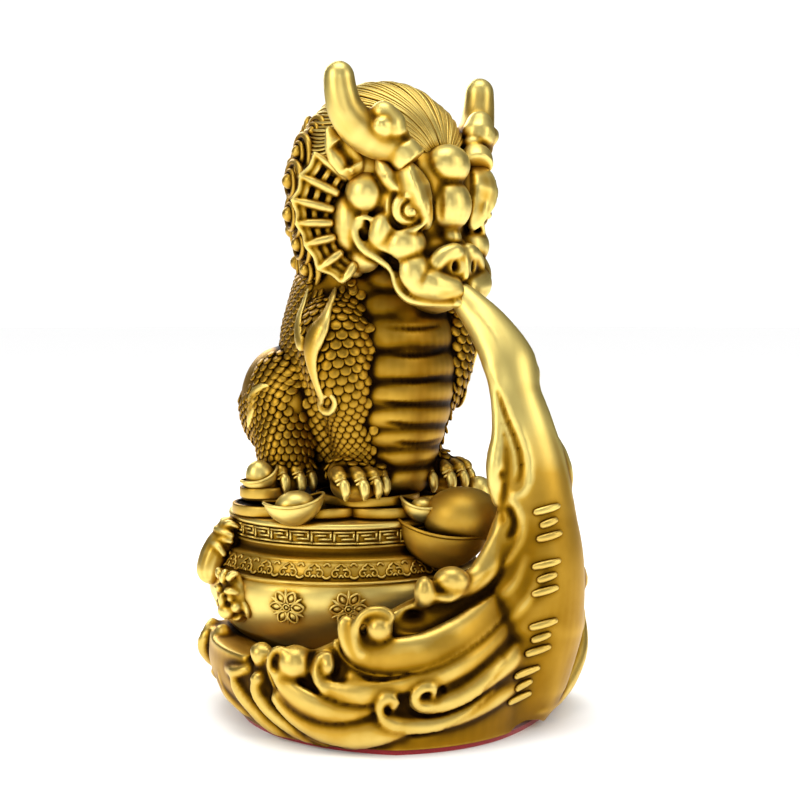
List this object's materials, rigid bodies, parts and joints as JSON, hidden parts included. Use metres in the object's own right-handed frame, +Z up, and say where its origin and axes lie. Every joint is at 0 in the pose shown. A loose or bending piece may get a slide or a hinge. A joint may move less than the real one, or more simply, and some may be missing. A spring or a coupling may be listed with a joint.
{
  "type": "qilin figurine",
  "caption": "Cast brass desk figurine of a seated horned qilin on a treasure basin, blowing a water jet that falls into a bank of curling waves, on a red felt pad.",
  "frame": {"origin": "on the felt pad's flat underside, at the middle of the wave bank as seen from the display side", "axes": "+Z up, the display side faces -Y, +X towards the water column at the viewer's right"},
  "size_m": [0.1068, 0.1045, 0.1782],
  "materials": {
    "brass": "satin cast brass with dark brown patina in the crevices and polished high spots",
    "felt": "matt red felt"
  },
  "bodies": {
    "root": {"figurine": "brass", "felt_pad": "felt"}
  },
  "joints": []
}
